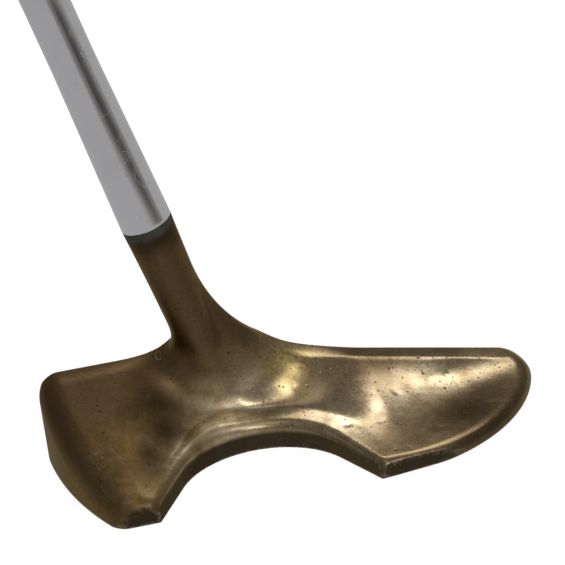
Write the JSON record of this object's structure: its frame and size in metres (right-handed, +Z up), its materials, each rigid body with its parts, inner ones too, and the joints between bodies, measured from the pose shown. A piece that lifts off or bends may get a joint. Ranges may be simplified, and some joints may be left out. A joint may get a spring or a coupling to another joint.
{
  "type": "putter",
  "caption": "Right-handed putter: cast brass head with a sloped, hollowed back and a ball-width round cut-out, swept neck, chromed flared shaft and wrapped leather grip with collar and end cap.",
  "frame": {"origin": "on the flat sole, on the centre line of the round cut-out, 7 mm behind the face's leading edge", "axes": "+X from heel to toe, +Y towards the target, +Z up; the shaft leans back towards -X"},
  "size_m": [0.2966, 0.0461, 0.8601],
  "materials": {
    "head_brass": "aged satin brass with dark patina, pits and scratches",
    "shaft_chrome": "bright chrome plate, lightly speckled",
    "plug_wood": "plain turned hardwood",
    "shaft_tape": "double-sided woven tape",
    "underlisting_rubber": "matt moulded rubber",
    "grip_leather": "spirally wrapped smooth leather",
    "collar_plastic": "black moulded ferrule",
    "cap_plastic": "black moulded cap",
    "screw_steel": "turned steel with a slot"
  },
  "bodies": {
    "root": {"head": "head_brass", "shaft": "shaft_chrome", "butt_plug": "plug_wood", "shaft_tape": "shaft_tape", "grip_underlisting": "underlisting_rubber", "grip_leather": "grip_leather", "grip_collar": "collar_plastic", "butt_cap": "cap_plastic", "cap_screw": "screw_steel"}
  },
  "joints": []
}
